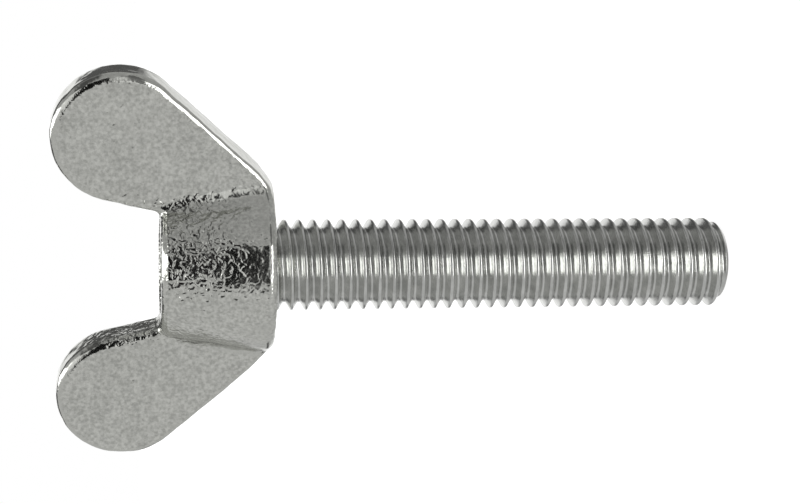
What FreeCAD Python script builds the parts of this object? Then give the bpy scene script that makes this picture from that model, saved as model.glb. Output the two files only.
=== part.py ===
import FreeCAD, Part
import math
import os

import Sketcher

# Wing screw, M8 x 40, of two pieces: a cast wing head that is tapped right through, and a
# rolled M8 stud that is screwed into it and ends just below the top of its boss.
# Frame: origin at the centre of the bearing face under the head, +Z up the axis to the wings,
# the stud hanging down -Z, the wings spread along X and their broad faces looking along Y.

doc = FreeCAD.newDocument("wing_screw")

# Driving dimensions, in millimetres and degrees.
DIMENSIONS = [
    ("pitch", 1.25, "M8 coarse pitch"),
    ("crest_dia", 7.86, "outside diameter of the stud's thread, inside the 6g band"),
    ("root_dia", 6.47, "root diameter of the stud's thread"),
    ("root_flat", 0.2, "width of the bottom of the stud's groove"),
    ("cutter_dia", 8.2, "diameter that the stud's groove cutter reaches out to"),
    ("crest_level", 0.1, "height of a crest above the bearing face on the +X side"),
    ("turns_below", 34, "turns of thread from the bearing face to beyond the tip"),
    ("turns_in_head", 9, "turns of thread from the bearing face to beyond the boss"),
    ("turns_under_head", 2, "turns by which the head's groove starts below the bearing face"),
    ("shank_length", 40.0, "stud below the bearing face"),
    ("end_recess", 0.2, "depth of the stud's upper end below the top of the boss"),
    ("tip_chamfer", 0.8, "45 degree chamfer on the free end"),
    ("top_chamfer", 0.5, "45 degree chamfer on the end inside the head"),
    ("boss_height", 9.55, "bearing face to the top of the boss"),
    ("base_radius", 7.5, "boss radius at the bearing face, before its chamfer"),
    ("top_radius", 5.95, "boss radius at its top, before its rim is rounded"),
    ("rim_chamfer", 0.5, "45 degree chamfer round the bearing face"),
    ("rim_round", 0.7, "rounding of the boss's top rim"),
    ("wing_thickness", 3.2, "thickness of both wings"),
    ("edge_round", 0.55, "rounding of the wings' edges"),
    ("corner_round", 1.5, "radius of a wing's lower corner, at the bearing face"),
    ("flank_slope", 46.7, "angle of a wing's outer flank above the bearing face"),
    ("lobe_radius", 5.7, "radius of the round end of a wing"),
    ("lobe_reach", 11.95, "distance of the lobe's centre from the axis"),
    ("lobe_level", 12.8, "height of the lobe's centre"),
    ("foot_reach", 5.0, "distance from the axis where the inner edge ends in the boss"),
    ("foot_level", 8.0, "height where the inner edge ends in the boss"),
    ("web_level", 1.2, "height of the wing's hidden lower side inside the boss"),
    ("bore_dia", 6.65, "core diameter of the tapped hole"),
    ("thread_gap", 0.05, "clearance between the two threads, along the axis"),
    ("tap_dia", 8.04, "outside diameter of the tapped hole's thread"),
    ("tap_inner_dia", 6.4, "diameter that the tap's groove reaches in to"),
    ("mouth_dia", 8.3, "diameter of the countersinks at both ends of the tapped hole"),
]

sheet = doc.addObject("Spreadsheet::Sheet", "dimensions")
for row, (alias, value, note) in enumerate(DIMENSIONS, start=1):
    sheet.set(f"A{row}", note)
    sheet.set(f"B{row}", str(value))
    sheet.setAlias(f"B{row}", alias)
doc.recompute()

START, END, CENTRE = 1, 2, 3      # the points of a sketch edge
H_AXIS, V_AXIS = -1, -2           # the sketch's own axes
ORIGIN = (H_AXIS, START)
FLANK_ANGLE = math.radians(30)    # half of the thread's 60 degrees
SECTORS = 8                       # arcs in the outline of the stud's blank
SECTOR = 2 * math.pi / SECTORS


def size(alias):
    """Value of one driving dimension."""
    return float(sheet.get(alias))


def new_body(label):
    """Empty body whose label names its file."""
    body = doc.addObject("PartDesign::Body", label + "_body")
    body.Label = label
    return body


def new_sketch(body, name, role):
    """Sketch on the body's own origin plane of that role."""
    sketch = body.newObject("Sketcher::SketchObject", name)
    plane = [item for item in body.Origin.OriginFeatures if item.Role == role][0]
    sketch.AttachmentSupport = [(plane, "")]
    sketch.MapMode = "FlatFace"
    return sketch


def rule(sketch, kind, *where):
    """Adds a constraint and returns its number."""
    return sketch.addConstraint(Sketcher.Constraint(kind, *where))


def bind(sketch, kind, where, value, formula):
    """Adds a constraint whose value comes from the sheet."""
    number = rule(sketch, kind, *where, value)
    sketch.setExpression(f"Constraints[{number}]", formula)


def line(sketch, start, end):
    """Straight edge between two points of the sketch."""
    return sketch.addGeometry(Part.LineSegment(FreeCAD.Vector(*start), FreeCAD.Vector(*end)))


def arc(sketch, centre, radius, first, last):
    """Arc of a circle, anticlockwise between two angles in radians."""
    circle = Part.Circle(FreeCAD.Vector(*centre), FreeCAD.Vector(0, 0, 1), radius)
    return sketch.addGeometry(Part.ArcOfCircle(circle, first, last))


def polygon(sketch, points):
    """Closed chain of straight edges; edge n starts at point n."""
    edges = [line(sketch, points[n], points[(n + 1) % len(points)]) for n in range(len(points))]
    for edge, following in zip(edges, edges[1:] + edges[:1]):
        rule(sketch, "Coincident", edge, END, following, START)
    return edges


# --- thread grooves --------------------------------------------------------------------------

def thread_groove(body, name, bottom, mouth, floor, level, turns):
    """
    Right-hand helical groove up Z with 60 degree flanks. bottom and mouth are its radii at its
    floor and its open side, floor the width of its floor, level its height where it starts.
    Each is a (value, formula) pair; turns is a formula.
    """
    flare = abs(mouth[0] - bottom[0]) * math.tan(FLANK_ANGLE)
    low, high = level[0] - floor[0] / 2, level[0] + floor[0] / 2
    sketch = new_sketch(body, name + "_section", "XZ_Plane")
    lower, opening, upper, end = polygon(sketch, [
        (bottom[0], low, 0), (mouth[0], low - flare, 0),
        (mouth[0], high + flare, 0), (bottom[0], high, 0)])
    flare_formula = f"abs(({mouth[1]}) - ({bottom[1]})) * tan(30 deg)"
    rule(sketch, "Vertical", opening)
    rule(sketch, "Vertical", end)
    bind(sketch, "DistanceX", (*ORIGIN, lower, START), bottom[0], bottom[1])
    bind(sketch, "DistanceX", (*ORIGIN, opening, START), mouth[0], mouth[1])
    bind(sketch, "Distance", (end,), floor[0], floor[1])
    bind(sketch, "DistanceY", (opening, START, lower, START), flare, flare_formula)
    bind(sketch, "DistanceY", (upper, END, opening, END), flare, flare_formula)
    bind(sketch, "DistanceY", (lower, START, *ORIGIN), -low, f"({floor[1]}) / 2 - ({level[1]})")

    groove = body.newObject("PartDesign::SubtractiveHelix", name)
    groove.Profile = sketch
    groove.ReferenceAxis = (sketch, ["V_Axis"])
    groove.Mode = "pitch-turns-angle"
    groove.setExpression("Pitch", "dimensions.pitch")
    groove.setExpression("Turns", turns)
    groove.Refine = False


# --- the stud --------------------------------------------------------------------------------

def round_blank(body, radius):
    """Bar of the thread's outside diameter, its round drawn as equal arcs."""
    sketch = new_sketch(body, "stud_section", "XY_Plane")
    arcs = [arc(sketch, (0, 0, 0), radius, n * SECTOR, (n + 1) * SECTOR) for n in range(SECTORS)]
    for piece, following in zip(arcs, arcs[1:] + arcs[:1]):
        rule(sketch, "Coincident", piece, CENTRE, *ORIGIN)
        rule(sketch, "Coincident", piece, END, following, START)
    rule(sketch, "PointOnObject", arcs[0], START, H_AXIS)
    bind(sketch, "Radius", (arcs[0],), radius, "dimensions.crest_dia / 2")
    for piece in arcs[:-1]:
        rule(sketch, "Angle", piece, SECTOR)
    blank = body.newObject("PartDesign::Pad", "stud_blank")
    blank.Profile = sketch
    blank.setExpression("Length", "dimensions.shank_length + dimensions.boss_height"
                                  " - dimensions.end_recess")
    blank.Refine = False


def bevel_end(body, level, depth):
    """45 degree chamfer on the bar's end at that height."""
    doc.recompute()
    rim = [f"Edge{n}" for n, edge in enumerate(body.Tip.Shape.Edges, start=1)
           if isinstance(edge.Curve, Part.Circle) and abs(edge.Curve.Center.z - level) < 0.001]
    bevel = body.newObject("PartDesign::Chamfer", "stud_" + depth)
    bevel.Base = (body.Group[-2], rim)
    bevel.setExpression("Size", "dimensions." + depth)
    bevel.Refine = False


def make_stud():
    """Rolled M8 stud, threaded from end to end and chamfered at both."""
    body = new_body("threaded_stud")
    body.setExpression("Placement.Base.z", "-dimensions.shank_length")
    round_blank(body, size("crest_dia") / 2)
    bevel_end(body, 0, "tip_chamfer")
    bevel_end(body, size("shank_length") + size("boss_height") - size("end_recess"),
              "top_chamfer")
    start = (size("crest_level") + size("shank_length")
             - (size("turns_below") - 0.5) * size("pitch"))
    thread_groove(body, "stud_thread",
                  (size("root_dia") / 2, "dimensions.root_dia / 2"),
                  (size("cutter_dia") / 2, "dimensions.cutter_dia / 2"),
                  (size("root_flat"), "dimensions.root_flat"),
                  (start, "dimensions.crest_level + dimensions.shank_length"
                          " - (dimensions.turns_below - 0.5) * dimensions.pitch"),
                  "dimensions.turns_below + dimensions.turns_in_head")
    return body


# --- the wing head ---------------------------------------------------------------------------

def wing_outline(body):
    """
    Outline of the +X wing: round lower corner, straight flank, lobe, and a straight inner edge
    that runs down into the boss, closed by four hidden edges inside the boss.
    """
    slope = math.radians(size("flank_slope"))
    out = (math.sin(slope), -math.cos(slope))
    lobe = (size("lobe_reach"), size("lobe_level"))
    radius, corner = size("lobe_radius"), size("corner_round")
    foot, web = (size("foot_reach"), size("foot_level")), size("web_level")

    touch = (lobe[0] + radius * out[0], lobe[1] + radius * out[1])
    corner_x = touch[0] - touch[1] / math.tan(slope) - corner * math.tan(slope / 2)
    corner_end = (corner_x + corner * out[0], corner + corner * out[1])
    towards_foot = math.atan2(foot[1] - lobe[1], foot[0] - lobe[0]) % (2 * math.pi)
    leave = towards_foot - math.acos(radius / math.dist(lobe, foot))
    lobe_end = (lobe[0] + radius * math.cos(leave), lobe[1] + radius * math.sin(leave))

    sketch = new_sketch(body, "wing_outline", "XZ_Plane")
    lower = arc(sketch, (corner_x, corner, 0), corner, -math.pi / 2, slope - math.pi / 2)
    flank = line(sketch, (*corner_end, 0), (*touch, 0))
    end = arc(sketch, (*lobe, 0), radius, slope - math.pi / 2, leave)
    inner = line(sketch, (*lobe_end, 0), (*foot, 0))
    shelf = line(sketch, (*foot, 0), (0, foot[1], 0))
    spine = line(sketch, (0, foot[1], 0), (0, web, 0))
    sill = line(sketch, (0, web, 0), (corner_x, web, 0))
    riser = line(sketch, (corner_x, web, 0), (corner_x, 0, 0))
    for edge, following in ((lower, flank), (flank, end), (end, inner)):
        rule(sketch, "Tangent", edge, END, following, START)
    for edge, following in ((inner, shelf), (shelf, spine), (spine, sill), (sill, riser),
                            (riser, lower)):
        rule(sketch, "Coincident", edge, END, following, START)
    rule(sketch, "PointOnObject", lower, START, H_AXIS)
    rule(sketch, "Vertical", lower, START, lower, CENTRE)
    rule(sketch, "Horizontal", shelf)
    rule(sketch, "Horizontal", sill)
    rule(sketch, "Vertical", riser)
    rule(sketch, "PointOnObject", shelf, END, V_AXIS)
    rule(sketch, "PointOnObject", spine, END, V_AXIS)
    bind(sketch, "Radius", (lower,), corner, "dimensions.corner_round")
    bind(sketch, "Angle", (flank,), slope, "dimensions.flank_slope * 1 deg")
    bind(sketch, "Radius", (end,), radius, "dimensions.lobe_radius")
    bind(sketch, "DistanceX", (*ORIGIN, end, CENTRE), lobe[0], "dimensions.lobe_reach")
    bind(sketch, "DistanceY", (*ORIGIN, end, CENTRE), lobe[1], "dimensions.lobe_level")
    bind(sketch, "DistanceX", (*ORIGIN, inner, END), foot[0], "dimensions.foot_reach")
    bind(sketch, "DistanceY", (*ORIGIN, inner, END), foot[1], "dimensions.foot_level")
    bind(sketch, "DistanceY", (*ORIGIN, spine, END), web, "dimensions.web_level")
    return sketch


def make_wings(body):
    """Flat wing with rounded edges, and its mirror image across the axis."""
    outline = wing_outline(body)
    plate = body.newObject("PartDesign::Pad", "wing_plate")
    plate.Profile = outline
    plate.SideType = "Symmetric"
    plate.setExpression("Length", "dimensions.wing_thickness")
    doc.recompute()

    half = size("wing_thickness") / 2
    rims = [f"Edge{n}" for n, edge in enumerate(plate.Shape.Edges, start=1)
            if abs(abs(edge.BoundBox.YMin) - half) < 0.001
            and edge.BoundBox.YLength < 0.001 and edge.BoundBox.XMax > size("base_radius")]
    rounding = body.newObject("PartDesign::Fillet", "wing_edges")
    rounding.Base = (plate, rims)
    rounding.setExpression("Radius", "dimensions.edge_round")
    doc.recompute()

    other = body.newObject("PartDesign::Mirrored", "other_wing")
    other.TransformMode = "Whole shape"
    other.MirrorPlane = (outline, ["V_Axis"])
    body.Tip = other
    doc.recompute()


def make_boss(body):
    """Tapering round boss: a turned profile with a chamfered base and a rounded top rim."""
    height, base, top = size("boss_height"), size("base_radius"), size("top_radius")
    chamfer, rim = size("rim_chamfer"), size("rim_round")
    sketch = new_sketch(body, "boss_section", "XZ_Plane")
    foot = line(sketch, (0, 0, 0), (base - chamfer, 0, 0))
    bevel = line(sketch, (base - chamfer, 0, 0), (base, chamfer, 0))
    side = line(sketch, (base, chamfer, 0), (top, height - rim, 0))
    crown = arc(sketch, (top - rim, height - rim, 0), rim, 0, math.pi / 2)
    face = line(sketch, (top - rim, height, 0), (0, height, 0))
    spine = line(sketch, (0, height, 0), (0, 0, 0))
    edges = [foot, bevel, side, crown, face, spine]
    for edge, following in zip(edges, edges[1:] + edges[:1]):
        rule(sketch, "Coincident", edge, END, following, START)
    rule(sketch, "Coincident", foot, START, *ORIGIN)
    rule(sketch, "Horizontal", foot)
    rule(sketch, "Horizontal", face)
    rule(sketch, "Vertical", spine)
    rule(sketch, "Horizontal", crown, START, crown, CENTRE)
    rule(sketch, "Vertical", crown, CENTRE, crown, END)
    bind(sketch, "DistanceX", (*ORIGIN, bevel, END), base, "dimensions.base_radius")
    bind(sketch, "DistanceX", (bevel, START, bevel, END), chamfer, "dimensions.rim_chamfer")
    bind(sketch, "DistanceY", (bevel, START, bevel, END), chamfer, "dimensions.rim_chamfer")
    bind(sketch, "DistanceX", (*ORIGIN, side, END), top, "dimensions.top_radius")
    bind(sketch, "Radius", (crown,), rim, "dimensions.rim_round")
    bind(sketch, "DistanceY", (spine, END, spine, START), height, "dimensions.boss_height")
    boss = body.newObject("PartDesign::Revolution", "boss")
    boss.Profile = sketch
    boss.ReferenceAxis = (sketch, ["V_Axis"])
    boss.Angle = 360
    doc.recompute()


def tap_head(body):
    """Through hole on the axis, countersunk at both ends, then its thread."""
    height, bore, mouth = size("boss_height"), size("bore_dia") / 2, size("mouth_dia") / 2
    sketch = new_sketch(body, "bore_section", "XZ_Plane")
    low, lower_sink, wall, upper_sink, high, spine = polygon(sketch, [
        (0, 0, 0), (mouth, 0, 0), (bore, mouth - bore, 0),
        (bore, height - mouth + bore, 0), (mouth, height, 0), (0, height, 0)])
    rule(sketch, "Coincident", low, START, *ORIGIN)
    rule(sketch, "Horizontal", low)
    rule(sketch, "Horizontal", high)
    rule(sketch, "Vertical", wall)
    rule(sketch, "Vertical", spine)
    rule(sketch, "Equal", low, high)
    sink = "(dimensions.mouth_dia - dimensions.bore_dia) / 2"
    bind(sketch, "DistanceX", (*ORIGIN, low, END), mouth, "dimensions.mouth_dia / 2")
    bind(sketch, "DistanceX", (*ORIGIN, wall, START), bore, "dimensions.bore_dia / 2")
    bind(sketch, "DistanceY", (lower_sink, START, lower_sink, END), mouth - bore, sink)
    bind(sketch, "DistanceY", (upper_sink, START, upper_sink, END), mouth - bore, sink)
    bind(sketch, "DistanceY", (*ORIGIN, high, START), height, "dimensions.boss_height")
    hole = body.newObject("PartDesign::Groove", "bore")
    hole.Profile = sketch
    hole.ReferenceAxis = (sketch, ["V_Axis"])
    hole.Angle = 360
    doc.recompute()

    ridge = "dimensions.pitch - dimensions.root_flat"
    taper = "(dimensions.tap_dia - dimensions.root_dia) * tan(30 deg)"
    floor = (size("pitch") - size("root_flat") + 2 * size("thread_gap")
             - (size("tap_dia") - size("root_dia")) * math.tan(FLANK_ANGLE))
    start = size("crest_level") - size("turns_under_head") * size("pitch")
    thread_groove(body, "head_thread",
                  (size("tap_dia") / 2, "dimensions.tap_dia / 2"),
                  (size("tap_inner_dia") / 2, "dimensions.tap_inner_dia / 2"),
                  (floor, f"{ridge} - {taper} + 2 * dimensions.thread_gap"),
                  (start, "dimensions.crest_level - dimensions.turns_under_head"
                          " * dimensions.pitch"),
                  "dimensions.turns_under_head + dimensions.turns_in_head")


def make_head():
    """Cast wing head, tapped right through."""
    body = new_body("wing_head")
    make_wings(body)
    make_boss(body)
    tap_head(body)
    return body


# --- build, check and write ------------------------------------------------------------------

def check(bodies):
    """Stops with a plain message if anything failed to build."""
    for item in doc.Objects:
        if "Invalid" in item.State or "Error" in item.State:
            raise RuntimeError(f"{item.Name} did not compute: {item.State}")
    for body in bodies:
        if body.Shape.isNull() or not body.Shape.isValid() or len(body.Shape.Solids) != 1:
            raise RuntimeError(body.Label + " is not one valid solid")


def main():
    bodies = [make_head(), make_stud()]
    doc.recompute()
    check(bodies)
    os.makedirs("parts", exist_ok=True)
    for body in bodies:
        body.Shape.exportStep(f"parts/{body.Label}.step")
        print(body.Label, round(body.Shape.Volume, 1), "mm3")


main()
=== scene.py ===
import math

import bmesh
import bpy
import numpy as np
from mathutils import Matrix, Vector, noise


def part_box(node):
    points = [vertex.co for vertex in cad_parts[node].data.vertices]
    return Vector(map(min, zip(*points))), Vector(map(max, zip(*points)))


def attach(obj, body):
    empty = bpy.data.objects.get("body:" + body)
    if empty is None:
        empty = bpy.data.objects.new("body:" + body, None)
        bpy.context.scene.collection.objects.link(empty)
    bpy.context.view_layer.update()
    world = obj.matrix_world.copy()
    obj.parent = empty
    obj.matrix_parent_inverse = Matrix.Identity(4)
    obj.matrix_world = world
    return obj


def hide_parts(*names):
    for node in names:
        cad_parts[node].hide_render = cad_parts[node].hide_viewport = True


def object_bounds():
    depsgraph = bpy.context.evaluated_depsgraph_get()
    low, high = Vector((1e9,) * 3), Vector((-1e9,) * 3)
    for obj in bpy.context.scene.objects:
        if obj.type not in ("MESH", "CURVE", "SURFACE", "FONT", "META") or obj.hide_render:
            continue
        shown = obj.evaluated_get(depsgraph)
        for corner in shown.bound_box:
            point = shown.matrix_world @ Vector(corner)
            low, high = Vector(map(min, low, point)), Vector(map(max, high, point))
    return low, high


# Looks of the wing screw: a cast, plated wing head on a rolled, plated M8 stud, standing on its
# tip. Shapes are worked out in millimetres, as on the drawing, and scaled to metres at the end.

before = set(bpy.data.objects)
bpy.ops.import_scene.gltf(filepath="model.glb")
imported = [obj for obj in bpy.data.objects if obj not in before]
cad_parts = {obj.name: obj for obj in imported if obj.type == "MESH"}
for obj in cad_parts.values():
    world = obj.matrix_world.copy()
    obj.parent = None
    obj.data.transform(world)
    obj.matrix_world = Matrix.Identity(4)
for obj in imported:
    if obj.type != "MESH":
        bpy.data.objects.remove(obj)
CAD_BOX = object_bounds()

MM = 0.001
HEAD_LOW, HEAD_HIGH = [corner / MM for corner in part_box("wing_head")]
STUD_LOW, STUD_HIGH = [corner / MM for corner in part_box("threaded_stud")]

# Head, in millimetres and degrees. The boss is a cone; a wing is a flat plate whose outline is
# a round lobe, a straight outer flank and a straight inner edge, both tangent to the lobe.
BOSS_HEIGHT = 9.55
BASE_RADIUS = HEAD_HIGH.y
TOP_RADIUS = 5.95
WING_HALF = 1.6
LOBE_RADIUS = 5.7
LOBE_CENTRE = np.array([HEAD_HIGH.x - LOBE_RADIUS, HEAD_HIGH.z - LOBE_RADIUS])
FLANK_SLOPE = 46.7
INNER_FOOT = np.array([5.0, 8.0])
CORNER_ROUND = 1.5
RIM_ROUND = 0.7
BASE_CHAMFER = 0.5
BEVEL_ROUND = 0.15
FOOT_ROUND = 0.1
HOLE_RADIUS = 4.4
ABOVE_BOSS = 0.3

# The rounding of the wings' edges, and the fillet where they leave the boss, change with the
# height: each has its radii at some heights.
EDGE_HEIGHTS, EDGE_ROUNDS = (6.0, 13.0), (0.38, 0.80)
FILLET_HEIGHTS, FILLETS = (0, 7.0, 9.0), (1.3, 1.2, 0.5)

# Skin of the casting, in millimetres. Lumps have a height and a size, and the wings' flat faces
# keep only a share of that height. The inset sinks the skin a little, to make room for them.
SKIN_CELL = 0.148
BROAD_LUMP, BROAD_LUMP_SIZE = 0.048, 3.0
FINE_LUMP, FINE_LUMP_SIZE = 0.028, 1.1
FLAT_FACE_SHARE, FLAT_FACE_POWER = 0.3, 6
SKIN_INSET = 0.03
SEED_SHIFT = Vector((17.3, 5.7, 11.1))

# How much of the sandiness is lost on the wings, and again on their edges and the boss's rims.
# A wing's edge starts where the normal's part across the wing falls below a value, and the top
# rim where its upward part rises above one; the foot rim is below a height. Each comes in over
# a width.
WING_SAND_LOSS = 0.62
EDGE_SAND_LOSS = 0.7
WING_FACE_NORMAL, WING_EDGE_WIDTH = 0.985, 0.06
TOP_RIM_NORMAL, TOP_RIM_WIDTH = 0.35, 0.2
FOOT_RIM_HEIGHT, FOOT_RIM_WIDTH = 0.9, 0.3

# Thread, in millimetres and degrees. The crest level is a crest's height at angle 0. A blend is
# the width over which two faces run into each other.
PITCH = 1.25
CREST_LEVEL = 0.1
CREST_RADIUS = STUD_HIGH.x
CREST_HALF_FLAT = 0.10
ROOT_RADIUS = 3.235
HALF_THREAD_ANGLE = 30
CREST_BLEND, ROOT_BLEND, CHAMFER_BLEND = 0.07, 0.16, 0.1
TIP_CHAMFER = 0.8
TOP_CHAMFER = 0.5

# Grid of the thread's mesh: two turns longer than the stud, and cut back to its ends, where
# points closer than the weld distance become one.
COLUMNS, ROWS_PER_TURN = 112, 22
ROWS = math.ceil((STUD_HIGH.z - STUD_LOW.z) / PITCH + 2) * ROWS_PER_TURN
WELD = 0.0005

# Materials: colours as red, green, blue and alpha, sizes and heights in millimetres. A tone
# swings the colour either way from half way between dark and light.
WHITE = (1, 1, 1, 1)
CAST_DARK, CAST_LIGHT = (0.42, 0.425, 0.398, 1), (0.69, 0.695, 0.655, 1)
CAST_GRAIN, CAST_CLOUD, CAST_RELIEF = 0.29, 2.6, 0.5
CAST_RELIEF_HEIGHT = 0.16
GRAIN_TONE, CLOUD_TONE, HALF_WAY, SAND_TO_TONE = 0.42, 0.1, 0.5, 2.6
CAST_ROUGHNESS = (0.11, 0.19)
ROLLED_DARK, ROLLED_LIGHT = (0.48, 0.485, 0.47, 1), (0.65, 0.655, 0.635, 1)
ROLLED_PATCH, ROLLED_RELIEF = 1.4, 0.18
ROLLED_RELIEF_HEIGHT = 0.009
ROLLED_ROUGHNESS = (0.14, 0.24)
NOISE_LOW, NOISE_HIGH = 0.3, 0.7

# Camera, in degrees and millimetres; LENS is its focal length, and only the clipping is in
# metres. It aims at a point a little way along the stud and towards the near wing. Its
# distance, lens and roll were fitted to the photo's thread, for a chosen elevation.
CAMERA_AZIMUTH = 24.1
CAMERA_ELEVATION = 9.0
CAMERA_ROLL = -0.4
CAMERA_DISTANCE = 150.15
AIM_ALONG_STUD = 11.09
AIM_TO_WING = 1.11
LENS = 78.4
CLIP_NEAR, CLIP_FAR = 0.005, 20

# Floor: its radius in metres, its own glow and its paint, which together come out plain white.
FLOOR_RADIUS = 6.0
FLOOR_GLOW = 0.88
FLOOR_PAINT = (0.5, 0.5, 0.5, 1)


# --- camera ----------------------------------------------------------------------------------

def studio_axes():
    """Directions to the right, up and back towards the camera, in the frame."""
    azimuth = math.radians(CAMERA_AZIMUTH)
    elevation = math.radians(CAMERA_ELEVATION)
    back = Vector((math.sin(azimuth) * math.cos(elevation),
                   -math.cos(azimuth) * math.cos(elevation), math.sin(elevation)))
    right = Vector((0, 0, -1))
    right = (right - right.dot(back) * back).normalized()
    right = Matrix.Rotation(math.radians(CAMERA_ROLL), 3, back) @ right
    return right, back.cross(right), back


def make_camera():
    """Camera before the wings' flat faces, turned so that the stud lies across the picture."""
    right, up, back = studio_axes()
    data = bpy.data.cameras.new("camera")
    data.lens = LENS
    data.clip_start, data.clip_end = CLIP_NEAR, CLIP_FAR
    camera = bpy.data.objects.new("camera", data)
    bpy.context.scene.collection.objects.link(camera)
    place = (AIM_ALONG_STUD * right + AIM_TO_WING * up + CAMERA_DISTANCE * back) * MM
    turned = Matrix((right, up, back)).transposed().to_4x4()
    camera.matrix_world = Matrix.Translation(place) @ turned
    bpy.context.scene.camera = camera


# --- pieces ----------------------------------------------------------------------------------

def finish_piece(mesh, material, node):
    """Piece in metres from a mesh in millimetres; it stands for that CAD node."""
    mesh.transform(Matrix.Scale(MM, 4))
    mesh.shade_smooth()
    mesh.materials.append(material)
    piece = bpy.data.objects.new(mesh.name, mesh)
    bpy.context.scene.collection.objects.link(piece)
    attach(piece, "root")
    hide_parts(node)
    return piece


# --- shape of the head -----------------------------------------------------------------------

def joined(a, b, radius):
    """Union of two distance fields with a fillet of that radius between them."""
    inner = np.hypot(np.maximum(radius - a, 0), np.maximum(radius - b, 0))
    return np.maximum(radius, np.minimum(a, b)) - inner


def met(a, b, radius):
    """Intersection of two distance fields with its edge rounded to that radius."""
    outer = np.hypot(np.maximum(radius + a, 0), np.maximum(radius + b, 0))
    return np.minimum(-radius, np.maximum(a, b)) + outer


def wing_outline(x, z):
    """Distance from a wing's outline, in the plane of the wings."""
    slope = math.radians(FLANK_SLOPE)
    flank_normal = np.array([math.sin(slope), -math.cos(slope)])
    to_foot = INNER_FOOT - LOBE_CENTRE
    leave = (math.atan2(to_foot[1], to_foot[0]) % (2 * math.pi)
             - math.acos(LOBE_RADIUS / np.hypot(*to_foot)))
    inner_normal = np.array([math.cos(leave), math.sin(leave)])
    mean = flank_normal + inner_normal
    chord_normal = -mean / np.hypot(*mean)
    chord_offset = LOBE_RADIUS * float(flank_normal @ chord_normal)

    from_x, from_z = x - LOBE_CENTRE[0], z - LOBE_CENTRE[1]
    lobe = np.hypot(from_x, from_z) - LOBE_RADIUS
    flank = from_x * flank_normal[0] + from_z * flank_normal[1] - LOBE_RADIUS
    inner = from_x * inner_normal[0] + from_z * inner_normal[1] - LOBE_RADIUS
    chord = from_x * chord_normal[0] + from_z * chord_normal[1] - chord_offset
    blade = np.maximum(np.maximum(met(flank, -z, CORNER_ROUND), inner), chord)
    return np.minimum(lobe, blade)


def head_field(points):
    """Signed distance, roughly, of points from the surface of the head without its hole."""
    x, y, z = np.abs(points[:, 0]), points[:, 1], points[:, 2]
    edge = np.interp(z, EDGE_HEIGHTS, EDGE_ROUNDS)
    wing = met(wing_outline(x, z), np.abs(y) - WING_HALF, edge)
    taper = math.atan((BASE_RADIUS - TOP_RADIUS) / BOSS_HEIGHT)
    radius_here = BASE_RADIUS - z * math.tan(taper)
    side = (np.hypot(x, y) - radius_here) * math.cos(taper)
    boss = met(side, z - BOSS_HEIGHT, RIM_ROUND)
    body = joined(wing, boss, np.interp(z, FILLET_HEIGHTS, FILLETS))
    bevel = (body - z + BASE_CHAMFER) * math.sqrt(0.5)
    return met(met(body, bevel, BEVEL_ROUND), -z, FOOT_ROUND)


def field_gradient(points, step=0.005):
    """Gradient of the head's field, by central differences."""
    parts = []
    for axis in range(3):
        shift = np.zeros(3)
        shift[axis] = step
        parts.append((head_field(points + shift) - head_field(points - shift)) / (2 * step))
    return np.stack(parts, axis=1)


def settle_on_head(points):
    """Points moved onto the head's surface, in short steps."""
    steps, longest, least_size = 8, 0.2, 0.05
    for _ in range(steps):
        slope = field_gradient(points)
        size = np.maximum((slope ** 2).sum(1), least_size)
        move = np.clip(head_field(points) / size, -longest, longest)
        points = points - move[:, None] * slope
    return points


def fractal(points, size, seed):
    """Seeded fractal noise at points, about -1 to 1; size is that of its largest lumps."""
    fade, finer, octaves = 0.8, 2.0, 2
    return np.array([noise.fractal(Vector(p) / size + seed * SEED_SHIFT, fade, finer, octaves)
                     for p in points.tolist()])


def casting_lumps(skin, normal):
    """Height of the casting's lumps at points of its skin, with the inset taken off."""
    broad = BROAD_LUMP * fractal(skin, BROAD_LUMP_SIZE, seed=1)
    fine = FINE_LUMP * fractal(skin, FINE_LUMP_SIZE, seed=2)
    share = np.clip(1 - np.abs(normal[:, 1]) ** FLAT_FACE_POWER, FLAT_FACE_SHARE, 1)
    return (broad + fine) * share - SKIN_INSET


def ramp(value, start, width):
    """0 up to start, rising evenly to 1 over width."""
    return np.clip((value - start) / width, 0, 1)


def sandiness(skin, normal):
    """How sandy the skin is: 1 on the boss, less on the wings, least on edges and rims."""
    on_wing = ramp(np.hypot(skin[:, 0], skin[:, 1]), BASE_RADIUS - 1, 1)
    wing_edge = ramp(-np.abs(normal[:, 1]), -WING_FACE_NORMAL, WING_EDGE_WIDTH) * on_wing
    top_rim = ramp(normal[:, 2], TOP_RIM_NORMAL, TOP_RIM_WIDTH)
    foot_rim = ramp(-skin[:, 2], -FOOT_RIM_HEIGHT, FOOT_RIM_WIDTH)
    rim = np.clip((top_rim + foot_rim) * (1 - on_wing), 0, 1)
    return (1 - WING_SAND_LOSS * on_wing) * (1 - EDGE_SAND_LOSS * np.maximum(wing_edge, rim))


def remeshed_copy(node, name, cell):
    """New mesh in millimetres: the CAD node's shape made of small, even cells."""
    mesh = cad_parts[node].data.copy()
    mesh.materials.clear()
    mesh.transform(Matrix.Scale(1 / MM, 4))
    rough = bpy.data.objects.new(name + "_rough", mesh)
    bpy.context.scene.collection.objects.link(rough)
    remesh = rough.modifiers.new("even_cells", "REMESH")
    remesh.mode = "VOXEL"
    remesh.voxel_size = cell
    remesh.use_smooth_shade = True
    graph = bpy.context.evaluated_depsgraph_get()
    even = bpy.data.meshes.new_from_object(rough.evaluated_get(graph))
    bpy.data.objects.remove(rough)
    even.name = name
    return even


def read_points(mesh):
    """The mesh's vertices as an array."""
    flat = np.zeros(len(mesh.vertices) * 3)
    mesh.vertices.foreach_get("co", flat)
    return flat.reshape(-1, 3)


def write_points(mesh, points):
    """Moves the mesh's vertices to points."""
    mesh.vertices.foreach_set("co", points.ravel())
    mesh.update()


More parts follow.
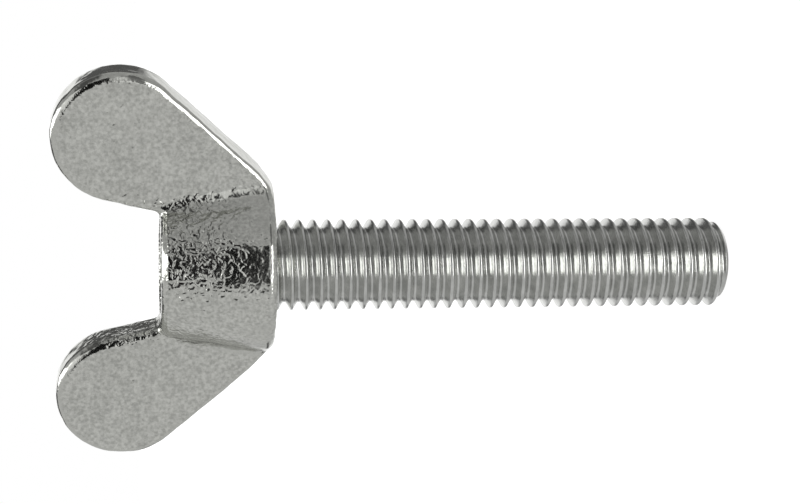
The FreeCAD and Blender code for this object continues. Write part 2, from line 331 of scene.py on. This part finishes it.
def make_head():
    """Cast wing head: filleted where the wings leave the boss, uneven as castings are.

    The hole's wall, inside the boss, stays as the CAD has it.
    """
    mesh = remeshed_copy("wing_head", "cast_wing_head", SKIN_CELL)
    points = read_points(mesh)
    radius = np.hypot(points[:, 0], points[:, 1])
    outside = (radius > HOLE_RADIUS) | (points[:, 2] > BOSS_HEIGHT + ABOVE_BOSS)
    skin = settle_on_head(points[outside])
    normal = field_gradient(skin)
    normal /= np.linalg.norm(normal, axis=1)[:, None]
    skin = skin + normal * casting_lumps(skin, normal)[:, None]

    sand = np.ones(len(points))
    sand[outside] = sandiness(skin, normal)
    mesh.attributes.new("sand", "FLOAT", "POINT").data.foreach_set("value", sand)
    points[outside] = skin
    write_points(mesh, np.clip(points, np.array(HEAD_LOW), np.array(HEAD_HIGH)))
    return finish_piece(mesh, cast_metal(), "wing_head")


# --- shape of the stud -----------------------------------------------------------------------

def soft_min(a, b, width):
    """Smaller of two values, blended over that width."""
    blend = np.maximum(width - np.abs(a - b), 0) / width
    return np.minimum(a, b) - blend * blend * width / 4


def thread_radius(z, angle):
    """Radius of the rolled thread: 60 degree flanks, rounded crests and round roots."""
    turn = (z - CREST_LEVEL) / PITCH - angle / (2 * math.pi)
    from_crest = np.abs(turn - np.round(turn)) * PITCH
    steepness = 1 / math.tan(math.radians(HALF_THREAD_ANGLE))
    flank = CREST_RADIUS - (from_crest - CREST_HALF_FLAT) * steepness
    above_root = -soft_min(-flank, np.full_like(flank, -ROOT_RADIUS), ROOT_BLEND)
    return soft_min(above_root, np.full_like(flank, CREST_RADIUS), CREST_BLEND)


def stud_points():
    """Grid of points on the stud. A row climbs one pitch round the stud, along the helix."""
    low, high = STUD_LOW.z, STUD_HIGH.z
    row = np.arange(ROWS + 1)[:, None]
    angle = np.arange(COLUMNS)[None, :] * (2 * math.pi / COLUMNS)
    z = low - PITCH + (row / ROWS_PER_TURN + angle / (2 * math.pi)) * PITCH
    z = np.clip(z, low, high)
    angle = np.broadcast_to(angle, z.shape)
    radius = thread_radius(z, angle)
    radius = soft_min(radius, CREST_RADIUS - TIP_CHAMFER + (z - low), CHAMFER_BLEND)
    radius = soft_min(radius, CREST_RADIUS - TOP_CHAMFER + (high - z), CHAMFER_BLEND)
    radius = np.minimum(radius, CREST_RADIUS)
    return np.stack([radius * np.cos(angle), radius * np.sin(angle), z], axis=2)


def weld_and_cap(work):
    """Welds what the cut at the stud's ends squashed together, and fills the two ends."""
    bmesh.ops.remove_doubles(work, verts=work.verts, dist=WELD)
    bmesh.ops.dissolve_degenerate(work, dist=WELD, edges=work.edges)
    loose = [vert for vert in work.verts if not vert.link_faces]
    bmesh.ops.delete(work, geom=loose, context="VERTS")
    rims = [edge for edge in work.edges if edge.is_boundary]
    bmesh.ops.holes_fill(work, edges=rims, sides=0)
    bmesh.ops.recalc_face_normals(work, faces=work.faces)


def make_stud():
    """Rolled stud: a grid whose rows run along the thread's helix, closed at both ends."""
    work = bmesh.new()
    verts = [work.verts.new(point) for point in stud_points().reshape(-1, 3).tolist()]

    def vertex(row, column):
        """Vertex of the grid; past its last column a row goes on one turn higher up."""
        turns, place = divmod(column, COLUMNS)
        return verts[(row + turns * ROWS_PER_TURN) * COLUMNS + place]

    for row in range(ROWS):
        goes_on = row + 1 + ROWS_PER_TURN <= ROWS
        for column in range(COLUMNS if goes_on else COLUMNS - 1):
            corners = ((row, column), (row, column + 1), (row + 1, column + 1), (row + 1, column))
            work.faces.new([vertex(*corner) for corner in corners])
    weld_and_cap(work)
    mesh = bpy.data.meshes.new("rolled_stud_thread")
    work.to_mesh(mesh)
    work.free()
    return finish_piece(mesh, rolled_metal(), "threaded_stud")


# --- materials -------------------------------------------------------------------------------

class Nodes:
    """Small helper that adds linked nodes to one node tree."""

    def __init__(self, tree):
        self.tree = tree
        self.tree.nodes.clear()

    def add(self, kind, settings=None, **inputs):
        """New node. Each input is a value or another node's output; its key is the input's
        name, with _ for a space, or i and its number."""
        node = self.tree.nodes.new(kind)
        for key, value in (settings or {}).items():
            setattr(node, key, value)
        for key, value in inputs.items():
            place = node.inputs[int(key[1:]) if key[1:].isdigit() else key.replace("_", " ")]
            if isinstance(value, bpy.types.NodeSocket):
                self.tree.links.new(value, place)
            else:
                place.default_value = value
        return node

    def math(self, operation, a, b=0.0, clamp=False):
        """Result of one sum."""
        node = self.add("ShaderNodeMath", {"operation": operation, "use_clamp": clamp}, i0=a, i1=b)
        return node.outputs[0]

    def spread(self, value, low, high, to_low, to_high, smooth=False):
        """value, taken from low..high to to_low..to_high."""
        kind = "SMOOTHSTEP" if smooth else "LINEAR"
        node = self.add("ShaderNodeMapRange", {"interpolation_type": kind}, Value=value,
                        From_Min=low, From_Max=high, To_Min=to_low, To_Max=to_high)
        return node.outputs["Result"]

    def from_noise(self, value, to_low, to_high):
        """A noise's usual range, taken to to_low..to_high."""
        return self.spread(value, NOISE_LOW, NOISE_HIGH, to_low, to_high)

    def noise(self, where, size, detail, rough, twist=0.0):
        """Noise whose lumps are about size millimetres across."""
        node = self.add("ShaderNodeTexNoise", Vector=where, Scale=1 / (size * MM), Detail=detail,
                        Roughness=rough, Distortion=twist)
        return node.outputs["Fac"]


def new_material(name):
    """New material and its empty node tree."""
    material = bpy.data.materials.new(name)
    material.use_nodes = True
    return material, Nodes(material.node_tree)


def plated(nodes, factor, dark, light, roughness, relief, relief_height):
    """Ends a material as plated metal: its colour between dark and light, with bump relief."""
    bump = nodes.add("ShaderNodeBump", Strength=1.0, Distance=relief_height * MM, Height=relief)
    colour = nodes.add("ShaderNodeMix", {"data_type": "RGBA"}, Factor=factor, A=dark, B=light)
    shader = nodes.add("ShaderNodeBsdfPrincipled", Metallic=1.0, Roughness=roughness,
                       Base_Color=colour.outputs["Result"], Normal=bump.outputs[0])
    nodes.add("ShaderNodeOutputMaterial", Surface=shader.outputs[0])


def cast_metal():
    """Plated casting: a cloudy sheen, and a sandy grain in tone and relief.

    The grain is as strong as the mesh's sand attribute says.
    """
    material, nodes = new_material("cast_head")
    where = nodes.add("ShaderNodeTexCoord").outputs["Object"]
    sand = nodes.add("ShaderNodeAttribute", {"attribute_name": "sand"}).outputs["Fac"]
    grain = nodes.noise(where, CAST_GRAIN, detail=1.5, rough=0.5, twist=0.2)
    cloud = nodes.noise(where, CAST_CLOUD, detail=3.0, rough=0.5)
    relief = nodes.noise(where, CAST_RELIEF, detail=1.0, rough=0.5, twist=0.5)
    tone = nodes.math("ADD", nodes.from_noise(grain, -GRAIN_TONE, GRAIN_TONE),
                      nodes.from_noise(cloud, -CLOUD_TONE, CLOUD_TONE))
    strength = nodes.math("MULTIPLY", sand, SAND_TO_TONE, clamp=True)
    factor = nodes.math("ADD", nodes.math("MULTIPLY", tone, strength), HALF_WAY)
    plated(nodes, factor, CAST_DARK, CAST_LIGHT, nodes.from_noise(cloud, *CAST_ROUGHNESS),
           nodes.math("MULTIPLY", relief, sand), CAST_RELIEF_HEIGHT)
    return material


def rolled_metal():
    """Zinc-plated rolled thread: smooth, with faint patches in tone and gloss."""
    material, nodes = new_material("rolled_stud")
    where = nodes.add("ShaderNodeTexCoord").outputs["Object"]
    patch = nodes.noise(where, ROLLED_PATCH, detail=3.0, rough=0.6)
    fine = nodes.noise(where, ROLLED_RELIEF, detail=2.0, rough=0.6)
    plated(nodes, nodes.from_noise(patch, 0.0, 1.0), ROLLED_DARK, ROLLED_LIGHT,
           nodes.from_noise(patch, *ROLLED_ROUGHNESS), fine, ROLLED_RELIEF_HEIGHT)
    return material


# --- light and floor -------------------------------------------------------------------------

# Soft patches of the studio tent, picked from the photo's tones and the directions that
# the model mirrors there. Angles are in degrees: round is the angle about the picture's
# left-right line, 0 towards the camera, 90 straight up in the picture, 180 behind the object and
# 270 straight down; side is the angle to the right of that. Each is (round from, round to, side
# from, side to, soft edge, brightness). A later patch covers an earlier one.
PATCHES = [
    # Below, and below at the back with a dark spot.
    (230, 352, -90, 90, 14, 0.66),
    (204, 232, -90, 90, 10, 0.60),
    (208, 230, -3, 8, 5, 0.12),
    # Behind: a bright panel, with grey and dark ones above it and to its left.
    (146, 204, -32, -4, 8, 1.15),
    (98, 146, -90, 90, 8, 0.48),
    (112, 148, -60, 4, 8, 0.12),
    (140, 230, -64, -36, 6, 0.10),
    # Above on the left, with a dark panel.
    (30, 98, -90, 8, 8, 0.45),
    (20, 92, -46, -22, 8, 0.10),
    (92, 112, -48, -20, 8, 0.22),
    # Above on the right, darker towards the camera, with lighter panels far out.
    (72, 98, 8, 90, 8, 0.42),
    (28, 70, 8, 90, 6, 0.18),
    (28, 44, 36, 90, 8, 0.80),
    (44, 72, 32, 90, 8, 0.44),
    # Round the camera: dim, dark to its left, and the main light to its right.
    (-12, 30, 12, 34, 6, 0.22),
    (-29, 28, -29, 2.5, 3, 0.01),
    (-38, 26, 36, 54, 12, 5.0),
    # Behind, far out on the right.
    (120, 240, 48, 90, 8, 0.45),
]

# Round angles are read from the seam to a whole turn on.
SEAM = -20

# A light far out on the left adds to the patches. Its height is the upward part of a direction
# times a scale that makes it degrees, nearly. Both spans are (from, to, soft edge).
LEFT_LIGHT_SIDE = (-100, -61, 14)
LEFT_LIGHT_HEIGHT = (-8, 9, 4)
LEFT_LIGHT_SCALE = 60
LEFT_LIGHT_STRENGTH = 3.0


def all_patches():
    """The patches; one that crosses the seam comes again, a whole turn on."""
    for round_from, round_to, *rest in PATCHES:
        yield (round_from, round_to, *rest)
        if round_from < SEAM:
            yield (round_from + 360, round_to + 360, *rest)


def window(nodes, value, low, high, soft):
    """1 where value is between low and high, falling to 0 over the soft edge."""
    rise = nodes.spread(value, low - soft / 2, low + soft / 2, 0.0, 1.0, smooth=True)
    fall = nodes.spread(value, high - soft / 2, high + soft / 2, 1.0, 0.0, smooth=True)
    return nodes.math("MULTIPLY", rise, fall)


def studio_directions(nodes):
    """Each direction's upward part, its side angle and its round angle, as nodes' outputs."""
    where = nodes.add("ShaderNodeTexCoord").outputs["Generated"]
    along = []
    for axis in studio_axes():
        dot = nodes.add("ShaderNodeVectorMath", {"operation": "DOT_PRODUCT"},
                        i0=where, i1=tuple(axis))
        along.append(dot.outputs["Value"])
    to_right, upward, backward = along
    side = nodes.math("MULTIPLY", nodes.math("ARCSINE", to_right), 180 / math.pi)
    turned = nodes.math("MULTIPLY", nodes.math("ARCTAN2", upward, backward), 180 / math.pi)
    around = nodes.add("ShaderNodeMath", {"operation": "WRAP"}, i0=turned, i1=SEAM + 360, i2=SEAM)
    return upward, side, around.outputs[0]


def tent_brightness(nodes):
    """Brightness of the studio tent in each direction: white, with the patches and the light."""
    upward, side, around = studio_directions(nodes)
    level = 1.0
    for round_from, round_to, side_from, side_to, soft, bright in all_patches():
        inside = nodes.math("MULTIPLY", window(nodes, around, round_from, round_to, soft),
                            window(nodes, side, side_from, side_to, soft))
        change = nodes.math("SUBTRACT", bright, level)
        level = nodes.math("ADD", level, nodes.math("MULTIPLY", inside, change))
    height = nodes.math("MULTIPLY", upward, LEFT_LIGHT_SCALE)
    left_light = nodes.math("MULTIPLY", window(nodes, side, *LEFT_LIGHT_SIDE),
                            window(nodes, height, *LEFT_LIGHT_HEIGHT))
    return nodes.math("ADD", level, nodes.math("MULTIPLY", left_light, LEFT_LIGHT_STRENGTH))


def make_world():
    """Studio tent as a world. The camera itself sees plain white behind the object."""
    world = bpy.data.worlds.new("studio")
    bpy.context.scene.world = world
    world.use_nodes = True
    nodes = Nodes(world.node_tree)
    tent = nodes.add("ShaderNodeBackground", Color=WHITE, Strength=tent_brightness(nodes))
    plain = nodes.add("ShaderNodeBackground", Color=WHITE, Strength=1.0)
    seen = nodes.add("ShaderNodeLightPath").outputs["Is Camera Ray"]
    mix = nodes.add("ShaderNodeMixShader", i0=seen, i1=tent.outputs[0], i2=plain.outputs[0])
    nodes.add("ShaderNodeOutputWorld", Surface=mix.outputs[0])


def make_floor():
    """Plain white floor under the stud's tip, with only a faint contact shadow."""
    work = bmesh.new()
    bmesh.ops.create_circle(work, cap_ends=True, segments=96, radius=FLOOR_RADIUS)
    mesh = bpy.data.meshes.new("floor")
    work.to_mesh(mesh)
    work.free()
    floor = bpy.data.objects.new("floor", mesh)
    floor.location.z = CAD_BOX[0].z
    bpy.context.scene.collection.objects.link(floor)
    floor.visible_glossy = False
    floor.visible_diffuse = False
    material, nodes = new_material("floor")
    glow = nodes.add("ShaderNodeEmission", Strength=FLOOR_GLOW)
    paint = nodes.add("ShaderNodeBsdfDiffuse", Color=FLOOR_PAINT)
    both = nodes.add("ShaderNodeAddShader", i0=glow.outputs[0], i1=paint.outputs[0])
    nodes.add("ShaderNodeOutputMaterial", Surface=both.outputs[0])
    mesh.materials.append(material)


make_camera()
make_world()
make_floor()
make_head()
make_stud()
bpy.context.scene.view_settings.view_transform = "Standard"
